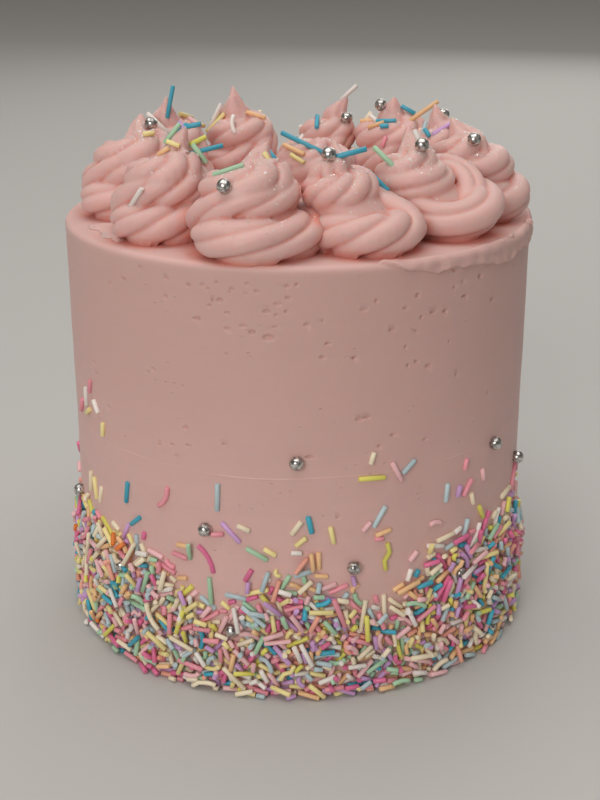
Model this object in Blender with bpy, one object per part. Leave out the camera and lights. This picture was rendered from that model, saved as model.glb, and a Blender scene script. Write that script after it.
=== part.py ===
"""A tall sprinkle cake, whole and uncut.

It is a buttercream-coated cylinder with a crisp top rim, a wavy band of
sprinkles pressed round its foot, and piped swirls standing on its top: a ring
of eleven near the rim and one in the middle.

Metres, +Z up. The origin is the middle of the flat base, and -Y is the front.
"""

import math
from collections import namedtuple

import bmesh
import bpy
from mathutils import Matrix, Vector

MM = 0.001

# ---------------------------------------------------------------- dimensions
CAKE_RADIUS = 82.5 * MM
CAKE_HEIGHT = 149.4 * MM
RIM_ROUND = 1.8 * MM  # radius of the top edge
RIM_STEPS = 3
SIDES = 64  # facets round the cake and round the band, so that they lie parallel
GAP = 0.3 * MM  # clearance between touching pieces

# The band of sprinkles: a rough coat that thins towards its wavy top edge.
BAND_HEIGHT = 40.5 * MM
BAND_THICK = 2.6 * MM
BAND_EDGE_THICK = 1.0 * MM
BAND_LUMPS = 17  # lumps round its face
BAND_LUMP_DEPTH = 0.3 * MM
# Waves of its top edge: how many round the cake, how high, where one crests.
BAND_WAVES = (
    (3, 6.0 * MM, math.radians(-105)),
    (7, 4.0 * MM, math.radians(75)),
    (10, 4.5 * MM, math.radians(160)),
)

# A swirl: a wide foot coil, a narrower crown coil, and a pulled tip.
RIBS = 8  # ribs left by the star nozzle
STEPS_PER_RIB = 3  # one corner in the groove and two on the rib
GROOVE_DEPTH = 0.17  # share of the radius
TWIST = 95.0  # radians that the ribs turn for each metre they climb
FOOT_TOP = 13.0 * MM  # crease between the two coils
CROWN_TOP = 24.5 * MM  # where the tip begins
FOOT_MIDDLE = 7.0 * MM
CROWN_MIDDLE = 19.0 * MM
CREASE_SHARE = 0.84  # crease radius over crown radius
SOLE_SHARE = 0.88  # radius on the cake over foot radius
NECK_SHARE = 0.52  # radius where the tip begins over crown radius
TIP_HOLLOW = 1.5  # how hollow the sides of the tip are

# Where each swirl stands: the foot's centre, the foot's and the crown's radius,
# the height, and how far the crown and the tip lean from the foot's centre.
Swirl = namedtuple("Swirl", "place foot crown height crown_lean tip_lean")
SWIRLS_MM = (
    Swirl((-16, -59), 22.0, 16.0, 33.5, (-1, 1), (5, 3)),
    Swirl((20, -58), 18.5, 12.5, 33.0, (-9, 3), (-10, 7)),
    Swirl((48, -38), 18.5, 13.0, 35.0, (-11, 2), (-13, 6)),
    Swirl((62, -13), 18.5, 14.5, 33.5, (-2, 2), (-9, 7)),
    Swirl((57, 22), 16.5, 12.5, 34.0, (-3, 0), (-6, 1)),
    Swirl((38, 46), 18.0, 15.0, 34.0, (0, 0), (0, -2)),
    Swirl((12, 56), 16.0, 11.0, 33.0, (1, 0), (9, 0)),
    Swirl((-22, 56), 18.5, 13.5, 36.5, (1, 0), (-2, 1)),
    Swirl((-49, 34), 17.5, 14.0, 36.0, (1, 0), (1, -3)),
    Swirl((-59, -2), 18.5, 15.5, 34.0, (3, 0), (4, 4)),
    Swirl((-47, -40), 17.5, 14.0, 36.0, (3, 1), (10, 1)),
    Swirl((6, -6), 19.0, 14.0, 25.0, (0, 1), (-2, 2)),
)


# ------------------------------------------------------------------ helpers
def clear_scene():
    for old in list(bpy.data.objects):
        bpy.data.objects.remove(old, do_unlink=True)


def material(name, colour, roughness):
    """A plain, non-metallic finish."""
    made = bpy.data.materials.new(name)
    made.use_nodes = True
    shader = made.node_tree.nodes["Principled BSDF"]
    shader.inputs["Base Color"].default_value = (*colour, 1.0)
    shader.inputs["Roughness"].default_value = roughness
    shader.inputs["Metallic"].default_value = 0.0
    return made


def finish(bm, name, look):
    """Turn a bmesh into a named object with outward faces and round shading."""
    bmesh.ops.recalc_face_normals(bm, faces=bm.faces)
    mesh = bpy.data.meshes.new(name)
    bm.to_mesh(mesh)
    bm.free()
    mesh.materials.append(look)
    mesh.shade_smooth()
    mesh.set_sharp_from_angle(angle=math.radians(40))
    made = bpy.data.objects.new(name, mesh)
    bpy.context.scene.collection.objects.link(made)
    return made


def icing_material():
    return material("pink_buttercream", (0.72, 0.37, 0.33), 0.55)


def swirl_material():
    return material("piped_buttercream", (0.78, 0.40, 0.36), 0.45)


def sprinkle_material():
    return material("pastel_sprinkles", (0.75, 0.55, 0.50), 0.40)


# --------------------------------------------------------------------- cake
def make_cake(look):
    """The cake under its coat: a straight cylinder with a small round rim."""
    bm = bmesh.new()
    bmesh.ops.create_cone(
        bm,
        cap_ends=True,
        segments=SIDES,
        radius1=CAKE_RADIUS,
        radius2=CAKE_RADIUS,
        depth=CAKE_HEIGHT,
        matrix=Matrix.Translation((0, 0, CAKE_HEIGHT / 2)),
    )
    top = CAKE_HEIGHT - GAP
    rim = [e for e in bm.edges if all(v.co.z > top for v in e.verts)]
    bmesh.ops.bevel(
        bm,
        geom=rim,
        offset=RIM_ROUND,
        segments=RIM_STEPS,
        profile=0.5,
        affect="EDGES",
        material=-1,
    )
    return finish(bm, "cake_body", look)


# --------------------------------------------------------------------- band
def band_top(angle):
    """Height of the band's top edge at an angle round the cake."""
    height = BAND_HEIGHT
    for count, size, crest in BAND_WAVES:
        height += size * math.cos(count * angle - crest)
    return height


def make_band(look):
    """A section of the coat, spun round the cake, then given its wavy outline."""
    inner = CAKE_RADIUS + GAP
    bm = bmesh.new()
    section = [
        (inner, 0.0),
        (inner + 0.8 * BAND_THICK, 0.0),
        (inner + BAND_THICK, 0.30),
        (inner + 0.9 * BAND_THICK, 0.70),
        (inner + BAND_EDGE_THICK, 1.0),
        (inner, 1.0),
    ]
    points = [bm.verts.new((radius, 0, share)) for radius, share in section]
    outline = [bm.edges.new((a, b)) for a, b in zip(points, points[1:] + points[:1])]
    bmesh.ops.spin(
        bm,
        geom=points + outline,
        cent=(0, 0, 0),
        axis=(0, 0, 1),
        angle=math.tau,
        steps=SIDES,
        use_merge=True,
    )
    for v in bm.verts:
        angle = math.atan2(v.co.y, v.co.x)
        if v.co.xy.length > inner + GAP:
            lump = BAND_LUMP_DEPTH * math.sin(BAND_LUMPS * angle + 5 * v.co.z)
            v.co.xy *= 1 + lump / inner
        v.co.z = GAP + v.co.z * (band_top(angle) - GAP)
    return finish(bm, "sprinkle_band", look)


# ------------------------------------------------------------------- swirls
def bulge(low, middle, top, share):
    """Radius up a coil that swells from its lower edge to its middle and back."""
    edge = low if share < 0.5 else top
    return edge + (middle - edge) * math.sqrt(1 - (2 * share - 1) ** 2)


def coil_stations(swirl):
    """Heights and radii of a swirl's rings, from its sole to the last below its tip."""
    crease = CREASE_SHARE * swirl.crown
    neck = NECK_SHARE * swirl.crown
    rings = []
    for share in (0.0, 0.2, 0.5, 0.8):
        height = GAP + share * (FOOT_TOP - GAP)
        rings.append((height, bulge(SOLE_SHARE * swirl.foot, swirl.foot, crease, share)))
    for share in (0.0, 0.22, 0.5, 0.8, 1.0):
        height = FOOT_TOP + share * (CROWN_TOP - FOOT_TOP)
        rings.append((height, bulge(crease, swirl.crown, neck, share)))
    for share in (0.33, 0.67):
        height = CROWN_TOP + share * (swirl.height - CROWN_TOP)
        rings.append((height, neck * (1 - share) ** TIP_HOLLOW))
    return rings


def leaning_centre(swirl, height):
    """Centre of a swirl's section at a height: upright foot, leaning crown and tip."""
    foot = Vector(swirl.place)
    crown = foot + Vector(swirl.crown_lean)
    tip = foot + Vector(swirl.tip_lean)
    if height <= CROWN_MIDDLE:
        share = max(0.0, (height - FOOT_MIDDLE) / (CROWN_MIDDLE - FOOT_MIDDLE))
        return foot.lerp(crown, share)
    return crown.lerp(tip, (height - CROWN_MIDDLE) / (swirl.height - CROWN_MIDDLE))


def seat(swirl, height):
    """The same centre as a point in space, above the top of the cake."""
    centre = leaning_centre(swirl, height)
    return Vector((centre.x, centre.y, CAKE_HEIGHT + height))


def raise_ring(bm, ring, move):
    """Extrude a ring of edges, move the new ring by a matrix, and return its edges."""
    grown = bmesh.ops.extrude_edge_only(bm, edges=ring)["geom"]
    corners = [g for g in grown if isinstance(g, bmesh.types.BMVert)]
    bmesh.ops.transform(bm, matrix=move, verts=corners)
    fresh = set(corners)
    return [e for e in bm.edges if e.verts[0] in fresh and e.verts[1] in fresh]


def make_swirl_shape(swirl):
    """A star-shaped section, lifted ring by ring while it turns, swells and leans."""
    rings = coil_stations(swirl)
    height, radius = rings[0]
    here = seat(swirl, height)
    bm = bmesh.new()
    star = bmesh.ops.create_circle(
        bm,
        cap_ends=True,
        segments=RIBS * STEPS_PER_RIB,
        radius=radius,
        matrix=Matrix.Translation(here),
    )["verts"]
    grooves = star[::STEPS_PER_RIB]
    bmesh.ops.scale(
        bm,
        vec=(1 - GROOVE_DEPTH, 1 - GROOVE_DEPTH, 1),
        space=Matrix.Translation(-here),
        verts=grooves,
    )
    ring = list(bm.edges)
    for next_height, next_radius in rings[1:]:
        there = seat(swirl, next_height)
        move = (
            Matrix.Translation(there)
            @ Matrix.Rotation(TWIST * (next_height - height), 4, "Z")
            @ Matrix.Diagonal((next_radius / radius, next_radius / radius, 1, 1))
            @ Matrix.Translation(-here)
        )
        ring = raise_ring(bm, ring, move)
        height, radius, here = next_height, next_radius, there
    tip = seat(swirl, swirl.height)
    ring = raise_ring(bm, ring, Matrix.Translation(tip - here))
    last = list({v for e in ring for v in e.verts})
    bmesh.ops.pointmerge(bm, verts=last, merge_co=tip)
    return bm


def meeting_point(here, there, own, other):
    """Where two overlapping circles meet on the line between their centres."""
    apart = there - here
    reach = (apart.length_squared + own**2 - other**2) / (2 * apart.length)
    return here + apart.normalized() * reach


def touches(one, other):
    """Whether two swirls would run into each other at foot or crown height."""
    levels = ((FOOT_MIDDLE, "foot"), (CROWN_MIDDLE, "crown"))
    return any(
        (leaning_centre(one, height) - leaning_centre(other, height)).length
        < getattr(one, coil) + getattr(other, coil) + GAP
        for height, coil in levels
    )


def press_against(bm, one, other):
    """Flatten one swirl against its neighbour: cut it at their shared plane."""
    low = meeting_point(
        leaning_centre(one, FOOT_MIDDLE),
        leaning_centre(other, FOOT_MIDDLE),
        one.foot,
        other.foot,
    )
    high = meeting_point(
        leaning_centre(one, CROWN_MIDDLE),
        leaning_centre(other, CROWN_MIDDLE),
        one.crown,
        other.crown,
    )
    outward = Vector(other.place) - Vector(one.place)
    along = Vector((-outward.y, outward.x, 0)).normalized()
    foot_point = Vector((low.x, low.y, CAKE_HEIGHT + FOOT_MIDDLE))
    crown_point = Vector((high.x, high.y, CAKE_HEIGHT + CROWN_MIDDLE))
    normal = along.cross(crown_point - foot_point).normalized()
    if normal.xy.dot(outward) < 0:
        normal.negate()
    cut = bmesh.ops.bisect_plane(
        bm,
        geom=list(bm.verts) + list(bm.edges) + list(bm.faces),
        plane_co=foot_point - normal * GAP / 2,
        plane_no=normal,
        clear_outer=True,
    )["geom_cut"]
    edges = [g for g in cut if isinstance(g, bmesh.types.BMEdge)]
    bmesh.ops.holes_fill(bm, edges=edges, sides=0)


def in_metres(swirl):
    """The same swirl with its sizes turned from millimetres into metres."""
    return Swirl(
        tuple(n * MM for n in swirl.place),
        swirl.foot * MM,
        swirl.crown * MM,
        swirl.height * MM,
        tuple(n * MM for n in swirl.crown_lean),
        tuple(n * MM for n in swirl.tip_lean),
    )


def make_swirls(look):
    swirls = [in_metres(row) for row in SWIRLS_MM]
    for number, swirl in enumerate(swirls, start=1):
        bm = make_swirl_shape(swirl)
        for other in swirls:
            if other is not swirl and touches(swirl, other):
                press_against(bm, swirl, other)
        finish(bm, f"swirl_{number:02d}", look)


clear_scene()
make_cake(icing_material())
make_band(sprinkle_material())
make_swirls(swirl_material())
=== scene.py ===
# %% [markdown]
# # A tall sprinkle cake
# The frame holds the cake at its true size as plain solids: the iced cake, the band of
# sprinkles round its foot and twelve piped swirls. This script finishes each of them. A frame
# that never moves is the simplest base to build on, because every new piece can read its place
# from a solid instead of guessing it.

# %% Load the frame
import math
import random

import bmesh
import bpy
import numpy as np
from mathutils import Matrix, Vector, noise
from mathutils.bvhtree import BVHTree


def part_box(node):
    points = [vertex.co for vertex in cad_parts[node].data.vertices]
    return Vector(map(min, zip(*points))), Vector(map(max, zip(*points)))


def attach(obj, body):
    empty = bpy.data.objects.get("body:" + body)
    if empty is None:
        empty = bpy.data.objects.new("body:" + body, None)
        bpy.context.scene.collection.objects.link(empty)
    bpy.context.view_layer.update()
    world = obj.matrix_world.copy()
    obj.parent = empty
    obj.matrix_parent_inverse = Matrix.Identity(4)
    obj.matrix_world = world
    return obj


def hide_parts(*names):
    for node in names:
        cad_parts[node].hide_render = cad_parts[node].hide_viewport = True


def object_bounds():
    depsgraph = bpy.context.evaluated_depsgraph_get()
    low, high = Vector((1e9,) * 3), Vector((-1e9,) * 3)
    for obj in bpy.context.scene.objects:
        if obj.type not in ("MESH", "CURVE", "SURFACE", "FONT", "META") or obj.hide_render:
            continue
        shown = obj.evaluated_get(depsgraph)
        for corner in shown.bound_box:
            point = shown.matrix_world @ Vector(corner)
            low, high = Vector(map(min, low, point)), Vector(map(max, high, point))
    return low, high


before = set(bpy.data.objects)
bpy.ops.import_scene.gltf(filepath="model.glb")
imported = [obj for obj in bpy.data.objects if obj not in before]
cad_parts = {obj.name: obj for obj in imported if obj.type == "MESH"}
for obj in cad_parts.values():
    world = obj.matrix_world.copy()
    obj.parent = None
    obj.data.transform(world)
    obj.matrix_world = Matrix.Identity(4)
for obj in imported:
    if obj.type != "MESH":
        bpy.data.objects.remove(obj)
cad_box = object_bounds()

MM = 0.001
low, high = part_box("cake_body")
RADIUS = (high.x - low.x) / 2
TOP = high.z
SWIRL_NODES = sorted(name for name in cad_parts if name.startswith("swirl"))
print(f"cake {RADIUS * 2 / MM:.0f} mm across and {TOP / MM:.1f} mm to its icing")
print(len(SWIRL_NODES), "swirls")

# %% [markdown]
# ## Shader nodes as plain expressions
# A finish is a small graph of nodes. Wired one by one it is hard to read, so a light wrapper
# lets a socket be added and multiplied like a number. Each operator adds one Math node, and
# everything else comes from one method that takes the node's type, settings and sockets.


# %% A wrapper for sockets
class Signal:
    """The output of a node, usable in arithmetic."""

    def __init__(self, finish, socket):
        self.finish = finish
        self.socket = socket

    def _math(self, operation, first, second):
        return self.finish.node("ShaderNodeMath", {"operation": operation}, {0: first, 1: second})

    def __add__(self, other):
        return self._math("ADD", self, other)

    def __radd__(self, other):
        return self._math("ADD", other, self)

    def __sub__(self, other):
        return self._math("SUBTRACT", self, other)

    def __rsub__(self, other):
        return self._math("SUBTRACT", other, self)

    def __mul__(self, other):
        return self._math("MULTIPLY", self, other)

    def __rmul__(self, other):
        return self._math("MULTIPLY", other, self)


# %% A material with one shader
class Finish:
    """A material with one Principled shader, whose patterns are built by node()."""

    def __init__(self, name, **constants):
        self.material = bpy.data.materials.new(name)
        self.material.use_nodes = True
        self.tree = self.material.node_tree
        self.shader = self.tree.nodes["Principled BSDF"]
        for socket, value in constants.items():
            self.set(socket.replace("_", " "), value)

    def set(self, socket, value):
        """Give one of the shader's sockets a constant or a signal."""
        self._fill(self.shader.inputs[socket], value)

    def _fill(self, socket, value):
        if isinstance(value, Signal):
            self.tree.links.new(value.socket, socket)
        else:
            socket.default_value = value

    def node(self, kind, settings=None, sockets=None, output=0):
        """Any node: its settings are set first, then its sockets are filled or linked."""
        made = self.tree.nodes.new(kind)
        for name, value in (settings or {}).items():
            setattr(made, name, value)
        for name, value in (sockets or {}).items():
            self._fill(made.inputs[name], value)
        return Signal(self, made.outputs[output])

    def place(self, scale=(1, 1, 1)):
        """Object coordinates in millimetres, stretched by scale."""
        here = self.node("ShaderNodeTexCoord", output="Object")
        stretched = tuple(n / MM for n in scale)
        return self.node("ShaderNodeMapping", sockets={"Vector": here, "Scale": stretched})

    def noise(self, size, scale=(1, 1, 1), detail=2.0, roughness=0.5):
        """Cloudy noise from 0 to 1 whose lumps are about size millimetres."""
        sockets = {"Vector": self.place(scale), "Scale": 1.0 / size}
        sockets |= {"Detail": detail, "Roughness": roughness}
        return self.node("ShaderNodeTexNoise", sockets=sockets)

    def between(self, signal, low, high):
        """The signal's range from low to high, stretched to 0 to 1."""
        sockets = {"Value": signal, "From Min": low, "From Max": high}
        return self.node("ShaderNodeMapRange", {"interpolation_type": "SMOOTHSTEP"}, sockets)

    def mix(self, share, first, second):
        """A colour between two colours, which are the node's inputs 6 and 7."""
        sockets = {"Factor": share, 6: first, 7: second}
        return self.node("ShaderNodeMix", {"data_type": "RGBA"}, sockets, output=2)

    def bump(self, height, distance):
        """Relief of a given depth in metres, for the Normal socket."""
        sockets = {"Height": height, "Distance": distance, "Strength": 1.0}
        return self.node("ShaderNodeBump", sockets=sockets)


# %% Colours
def colour(hexadecimal):
    """A painter's hex colour as the linear values that a shader takes."""
    parts = [int(hexadecimal[i : i + 2], 16) / 255 for i in (0, 2, 4)]
    linear = [n / 12.92 if n <= 0.04045 else ((n + 0.055) / 1.055) ** 2.4 for n in parts]
    return (*linear, 1.0)


def shade(base, amount):
    """The same colour, lighter or darker by a share."""
    return (*(min(1.0, n * amount) for n in base[:3]), 1.0)


# %% [markdown]
# ## Buttercream
# Buttercream is sugar and fat whipped with air. Light sinks a few millimetres into it and comes
# back redder, which is why the hollows between its ribs glow instead of going grey. The shader
# gets that from a little subsurface light with a long red reach, and from a warmer, darker shade
# painted into its colour in creases and gaps. The scraped side is duller and has fine level
# streaks from the scraper and pinholes from burst bubbles, and high on the side its colour is
# painted a little darker as painted shade. The piped icing is softer and shinier. Both share one
# function, so that they stay one batch of icing.

# %% The icing's colours and the marks on it
ICING = colour("E0B9B3")
PAINTED_CREASE_SHADE = colour("E67C64")
SIDE_PAINTED_SHADE = colour("D0AAA3")  # the side's colour, painted darker than the top as painted shade


def pinhole_spots(made):
    """1 inside small burst bubbles, which the scraper has drawn out sideways."""
    sockets = {"Vector": made.place((1, 1, 2.3)), "Scale": 0.2, "Randomness": 1.0}
    bubbles = made.node("ShaderNodeTexVoronoi", sockets=sockets)
    spots = 1 - made.between(bubbles, 0.05, 0.14)
    return spots * made.between(made.noise(19, detail=1), 0.50, 0.60)


def height_on(made):
    """How high a point of the cake lies, in millimetres."""
    place = made.node("ShaderNodeTexCoord", output="Object")
    return made.node("ShaderNodeSeparateXYZ", sockets={0: place}, output="Z") * (1 / MM)


def scraper_line(made):
    """A fine wavering ridge right round the cake, where the scraper was lifted."""
    off = height_on(made) - 80 - 5 * made.noise(90, scale=(1, 1, 0), detail=1) + 2.5
    away = made.node("ShaderNodeMath", {"operation": "ABSOLUTE"}, {0: off})
    ridge = 1 - made.between(away, 0.1, 0.45)
    return ridge * made.between(made.noise(22, detail=1), 0.35, 0.6)


def side_shade_share(made):
    """Share of the side's painted shade: 1 high on the side, fading down it, and 0 on the top of
    the cake.
    """
    height = height_on(made)
    return made.between(height, 40, 130) * (1 - made.between(height, TOP / MM - 3, TOP / MM))


# %% The two buttercream finishes
def buttercream(name, base, roughness, streak, pinholes, glow, reach, scraped):
    """Icing whose relief and colour come from the same clouds, streaks and holes."""
    made = Finish(
        name,
        Subsurface_Weight=glow,
        Subsurface_Radius=(1.0, 0.28, 0.17),
        Subsurface_Scale=reach,
        Specular_IOR_Level=0.42,
        Sheen_Weight=0.04,
        Sheen_Roughness=0.5,
    )
    clouds = made.noise(26, detail=3)
    level = made.noise(9, scale=(0.06, 0.06, 1.0), detail=4, roughness=0.65)
    grain = made.noise(0.7, detail=2)
    tone = made.between(clouds * 0.6 + level * 0.4, 0.32, 0.68)
    holes = pinhole_spots(made) * pinholes
    skin = made.mix(tone, shade(base, 0.955), shade(base, 1.03))
    if scraped:
        # Painted shade: the side is painted darker than the top, most of all high up.
        skin = made.mix(side_shade_share(made) * (0.85 + 0.15 * tone), skin, SIDE_PAINTED_SHADE)
    # The crease value paints a warmer, darker colour into hollows, gaps and the swirls' feet:
    # painted bounce light and shade.
    deep = made.node("ShaderNodeAttribute", {"attribute_name": "crease"}, output="Fac")
    skin = made.mix(deep * 0.9, skin, PAINTED_CREASE_SHADE)
    relief = level * streak + grain * 0.16 + clouds * 0.4 - holes * 1.4
    if scraped:
        line = scraper_line(made)
        # The ridge is also painted lighter: a painted highlight along the scraper line.
        skin = made.mix(line * 0.5, skin, shade(base, 1.14))
        relief = relief + 0.4 * line
    # Pinholes are painted darker: painted shade in the tiny hollows.
    made.set("Base Color", made.mix(holes, skin, shade(base, 0.68)))
    made.set("Roughness", roughness + 0.14 * grain - 0.05 * tone)
    made.set("Normal", made.bump(relief, 0.22 * MM))
    return made.material


smooth_icing = buttercream(
    "smooth_buttercream", ICING, 0.50, 0.9, 0.5, glow=0.3, reach=2 * MM, scraped=True
)
piped_icing = buttercream(
    "piped_buttercream", ICING, 0.42, 0.15, 0.35, glow=0.6, reach=4 * MM, scraped=False
)
print("buttercream finishes:", smooth_icing.name, "and", piped_icing.name)

# %% [markdown]
# ## Turning a bmesh into a piece
# Every piece ends the same way: its normals are made to point out, it is shaded smooth and it
# rides on the one body of the frame.


# %% From a bmesh to a piece in the scene
def as_mesh(bm, name):
    """A mesh from a bmesh, which is given up."""
    mesh = bpy.data.meshes.new(name)
    bm.to_mesh(mesh)
    bm.free()
    return mesh


def in_scene(name, data):
    """A new object in the scene."""
    made = bpy.data.objects.new(name, data)
    bpy.context.scene.collection.objects.link(made)
    return made


def as_piece(bm, name, look, stands_for=()):
    """A finished object from a bmesh, which may stand for nodes of the frame."""
    bmesh.ops.recalc_face_normals(bm, faces=bm.faces)
    mesh = as_mesh(bm, name)
    mesh.materials.append(look)
    mesh.shade_smooth()
    piece = in_scene(name, mesh)
    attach(piece, "root")
    if stands_for:
        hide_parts(*stands_for)
    triangles = sum(len(face.vertices) - 2 for face in mesh.polygons)
    print(f"{name}: {triangles} triangles")
    return piece


def smooth_step(share):
    """0 below 0, 1 above 1 and an easy curve between, for numbers or arrays."""
    share = np.clip(share, 0.0, 1.0)
    return share * share * (3 - 2 * share)


# %% [markdown]
# ## The iced cake
# The side of a tall cake is made by turning it against an upright scraper, so the form is a
# turned one: half a section, spun round. What makes it look hand made is small: a faint level
# seam where the scraper was lifted, bubble pits dragged open along its path, and a smeared lip
# where the top was pulled over the edge. These are real dents and steps here, so the mesh is
# cut finer only where they lie.

# %% Spin the section of the cake
SPIN_STEPS = 270
ROW = 1.9 * MM
RIM = 1.8 * MM
RIM_CUTS = 5
FOOT_BEVEL = 0.6 * MM
SEAM_HEIGHT = 80 * MM
FINE_CUTS = 4


def spin_cake():
    """The plain turned cake, with rows about 2 mm apart."""
    bm = bmesh.new()
    rim = [
        (RADIUS - RIM + RIM * math.cos(turn), TOP - RIM + RIM * math.sin(turn))
        for turn in np.linspace(0, math.pi / 2, RIM_CUTS)
    ]
    section = [(0, 0), (RADIUS - FOOT_BEVEL, 0), (RADIUS, FOOT_BEVEL), *rim, (0, TOP)]
    corners = [bm.verts.new((out, 0, up)) for out, up in section]
    edges = [bm.edges.new(pair) for pair in zip(corners, corners[1:])]
    for edge in edges:
        cuts = 0 if edge is edges[0] else int(edge.calc_length() / ROW)
        if cuts:
            bmesh.ops.subdivide_edges(bm, edges=[edge], cuts=cuts)
    bmesh.ops.spin(
        bm,
        geom=list(bm.verts) + list(bm.edges),
        cent=(0, 0, 0),
        axis=(0, 0, 1),
        angle=math.tau,
        steps=SPIN_STEPS,
        use_merge=True,
    )
    bmesh.ops.remove_doubles(bm, verts=bm.verts, dist=0.001 * MM)
    bmesh.ops.recalc_face_normals(bm, faces=bm.faces)
    return bm


cake = spin_cake()
print("turned cake:", len(cake.faces), "faces")

# %% [markdown]
# A pit is an oval dent, wider than it is high because the scraper drags it. Most lie in loose
# groups, where the icing held more air. A group is a place, a spread and a count, and a few
# more are dropped anywhere.

# %% Choose the bubble pits
PIT_GROUPS = (  # degrees round, height, degrees of spread, spread in height, count
    (-105, 143, 8, 1.5, 11),
    (-137, 142, 8, 3, 5),
    (-100, 134, 7, 5, 14),
    (-78, 129, 9, 6, 12),
    (-56, 134, 7, 8, 14),
    (-118, 89, 9, 3, 7),
    (-133, 118, 10, 12, 5),
    (-68, 104, 14, 10, 6),
    (20, 128, 12, 8, 12),
    (75, 110, 14, 14, 12),
    (128, 131, 10, 6, 11),
    (172, 95, 12, 10, 8),
)
SET_PITS = (  # the largest, and the tear beside a silver ball: also half width, height, depth
    (-98.0, 127.0, 1.9, 1.0, 1.0),
    (-101.5, 128.5, 1.1, 0.8, 0.9),
    (-89.2, 87.6, 1.5, 0.5, 1.1),
)
LONE_PITS = 34
LONE_HEIGHTS = (58, 144)  # millimetres


def choose_pits():
    """Turn, height, half width, half height and depth of every pit."""
    rng = random.Random(41)
    places = [
        (math.radians(rng.gauss(turn, wide)), rng.gauss(up, tall) * MM)
        for turn, up, wide, tall, count in PIT_GROUPS
        for _ in range(count)
    ]
    for _ in range(LONE_PITS):
        places.append((rng.uniform(-math.pi, math.pi), rng.uniform(*LONE_HEIGHTS) * MM))
    pits = []
    for turn, up in places:
        wide = rng.choice((0.5, 0.6, 0.8, 1.0, 1.3)) * MM
        tall = min(wide, rng.uniform(0.4, 0.7) * MM)
        if up < TOP - 4 * MM:
            pits.append((turn, up, wide, tall, rng.uniform(0.5, 1.0) * MM))
    for turn, *sizes in SET_PITS:
        pits.append((math.radians(turn), *(n * MM for n in sizes)))
    return pits


pits = choose_pits()
print(len(pits), "bubble pits")

# %% [markdown]
# The lip is the skin of icing that the palette knife pulled over the edge. It covers part of
# the rim on one side, stands a fraction of a millimetre proud and ends in a ragged line. The
# line is a curve of a few given heights with noise on it.

# %% Places on the side, and the lip
LIP_TURNS = np.radians((-74, -66, -60, -52, -46, -40, -33, -26, -18, -8, 4))
LIP_DROPS = np.array((0.0, 2.4, 4.2, 4.6, 5.6, 7.4, 6.0, 5.6, 6.4, 4.0, 0.0)) * MM
LIP_PROUD = 1.2 * MM


def heading_at(angle):
    """The level heading at an angle round the Z axis."""
    return Vector((math.cos(angle), math.sin(angle), 0))


def around(turn):
    """A turn wrapped into -180 to 180 degrees, for numbers or arrays."""
    return (turn + math.pi) % math.tau - math.pi


def lip_reach(turns):
    """How far below the rim the lip comes down at each turn."""
    reach = np.interp(turns, LIP_TURNS, LIP_DROPS, left=0.0, right=0.0)
    rag = np.array([noise.fractal((9 * t, 3.1, 0.4), 0.9, 2.1, 4) for t in turns])
    return np.where(reach > 0, reach + 1.6 * MM * rag * smooth_step(reach / (3 * MM)), 0.0)


def near_pits(turns, heights, margin):
    """Which places lie on a pit, or within margin of one."""
    found = np.zeros(len(turns), bool)
    for turn, up, wide, tall, _ in pits:
        across = np.abs(around(turns - turn)) * RADIUS
        found |= (across < wide + margin) & (np.abs(heights - up) < tall + margin)
    return found


def cut_finer(bm):
    """Subdivide the faces that carry pits or the lip's edge."""
    faces = list(bm.faces)
    middles = np.array([f.calc_center_median() for f in faces])
    turns = np.arctan2(middles[:, 1], middles[:, 0])
    heights = middles[:, 2]
    side = np.hypot(middles[:, 0], middles[:, 1]) > RADIUS - 2.5 * MM
    reach = np.interp(turns, LIP_TURNS, LIP_DROPS, left=0.0, right=0.0)
    lip = (reach > 0) & (heights > TOP - reach - 3.5 * MM)
    chosen = side & (near_pits(turns, heights, 0.9 * MM) | lip)
    edges = {e for f, yes in zip(faces, chosen) if yes for e in f.edges}
    bmesh.ops.subdivide_edges(bm, edges=list(edges), cuts=FINE_CUTS, use_grid_fill=True)


cut_finer(cake)
print("cut finer:", len(cake.faces), "faces")

# %% [markdown]
# Now the finer mesh is pushed in and out along its own normals. The amounts add up: a slow
# wobble of the scraper, the step at the seam, the lip and the pits. Each corner also keeps how
# deep it lies in a gap. Light in a gap goes from one pink wall to the next and grows warmer, so
# a warmer, darker shade is painted into the buttercream there, beside the swirls' feet and in the
# pits: painted bounce light and shade.


# %% How far the icing stands out
def wobble(places, size, seed):
    """Smooth noise at each place, with lumps of the given size."""
    offset = Vector((seed, -seed, 2 * seed))
    return np.array([noise.noise(Vector(p) / size + offset) for p in places])


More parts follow.
